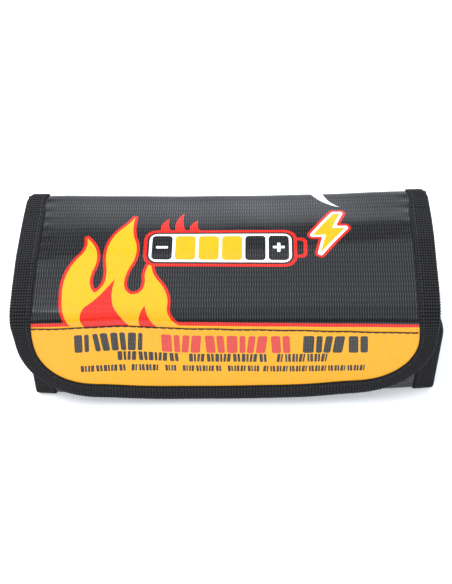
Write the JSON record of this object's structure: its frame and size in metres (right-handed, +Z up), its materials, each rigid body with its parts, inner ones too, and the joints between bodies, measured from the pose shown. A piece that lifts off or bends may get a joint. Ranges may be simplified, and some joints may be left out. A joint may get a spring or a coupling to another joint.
{
  "type": "lithium battery safety bag",
  "caption": "Soft box-shaped fire-resistant bag for a lithium battery, with a folding lid and a rounded front flap held by hook and loop.",
  "frame": {"origin": "centre of the bag's footprint, on the surface that it stands on", "axes": "+X along the bag to the right as seen from the flap's side, -Y to the front where the flap hangs, +Z up"},
  "size_m": [0.185, 0.075, 0.06],
  "materials": {
    "printed_cloth": "black coated glass-fibre cloth with a printed yellow band, satin",
    "shell_cloth": "black coated glass-fibre cloth, satin",
    "lining_cloth": "silver-grey woven glass cloth",
    "edge_tape": "black ribbed polyester tape, matt",
    "hook_cloth": "black nylon hooks",
    "loop_cloth": "black nylon loops, napped",
    "thread": "black bonded thread"
  },
  "bodies": {
    "body": {"body_shell": "shell_cloth", "body_lining": "lining_cloth", "left_end_panel": "shell_cloth", "right_end_panel": "shell_cloth", "left_end_lining": "lining_cloth", "right_end_lining": "lining_cloth", "left_body_tape": "edge_tape", "right_body_tape": "edge_tape", "front_rim_tape": "edge_tape", "left_end_rim_tape": "edge_tape", "right_end_rim_tape": "edge_tape", "loop_panel": "loop_cloth", "loop_panel_stitching": "thread"},
    "lid": {"lid_shell": "printed_cloth", "lid_lining": "lining_cloth", "lid_left_tape": "edge_tape", "lid_right_tape": "edge_tape"},
    "flap": {"flap_shell": "printed_cloth", "flap_lining": "lining_cloth", "flap_tape": "edge_tape", "hook_panel": "hook_cloth", "hook_panel_stitching": "thread"}
  },
  "joints": [
    {"name": "lid_hinge", "type": "hinge", "parent": "body", "child": "lid", "pos_m": [0, 0.0378, 0.05765], "axis": [-1, 0, 0], "range_deg": [0, 175]},
    {"name": "flap_hinge", "type": "hinge", "parent": "lid", "child": "flap", "pos_m": [0, -0.0375, 0.05765], "axis": [-1, 0, 0], "range_deg": [0, 110]}
  ]
}
